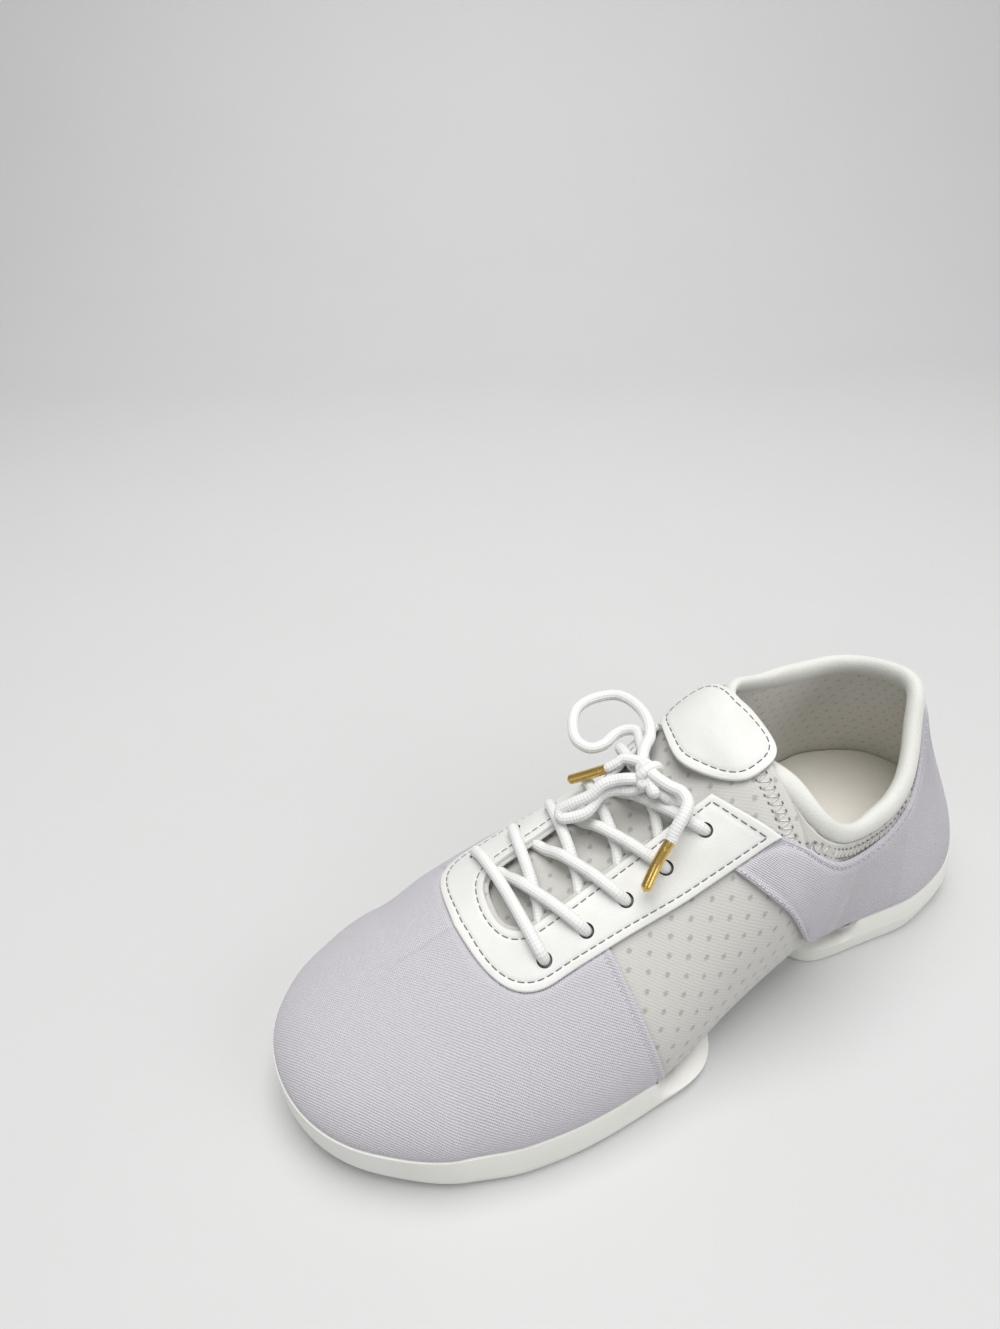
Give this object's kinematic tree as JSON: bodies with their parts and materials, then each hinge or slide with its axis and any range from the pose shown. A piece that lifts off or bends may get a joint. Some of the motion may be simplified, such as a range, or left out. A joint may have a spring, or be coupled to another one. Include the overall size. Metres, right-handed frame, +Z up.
{
  "type": "dance sneaker",
  "caption": "Left lace-up dance sneaker with a soft stretch upper, leather eyestay, padded collar and a rubber sole split under the arch.",
  "frame": {"origin": "centre of the soles' bounding box, on the floor", "axes": "+X from the heel towards the toe, +Y towards the outer (lateral) side of this left shoe, +Z up"},
  "size_m": [0.2662, 0.1073, 0.0988],
  "materials": {
    "white_rubber": "satin off-white rubber",
    "dimpled_knit": "light grey stretch knit with small dimples",
    "lavender_canvas": "pale lavender grey canvas",
    "white_leather": "smooth white leather",
    "cream_insole": "cream felt over foam",
    "gold_metal": "polished gold",
    "white_lace": "round braided white lace"
  },
  "bodies": {
    "root": {"outsole_forefoot": "white_rubber", "outsole_heel": "white_rubber", "upper": "dimpled_knit", "insole": "cream_insole", "tongue": "dimpled_knit", "eyestay": "white_leather", "toe_vamp": "lavender_canvas", "heel_quarter": "lavender_canvas", "collar_binding": "dimpled_knit", "tongue_patch": "white_leather", "heel_stud": "gold_metal", "lace_bar": "white_lace", "lace_cross_1": "white_lace", "lace_cross_2": "white_lace", "lace_cross_3": "white_lace", "lace_cross_4": "white_lace", "knot": "white_lace", "loop_round": "white_lace", "loop_narrow": "white_lace", "end_short": "white_lace", "end_long": "white_lace", "aglet_short": "gold_metal", "aglet_long": "gold_metal"}
  },
  "joints": []
}
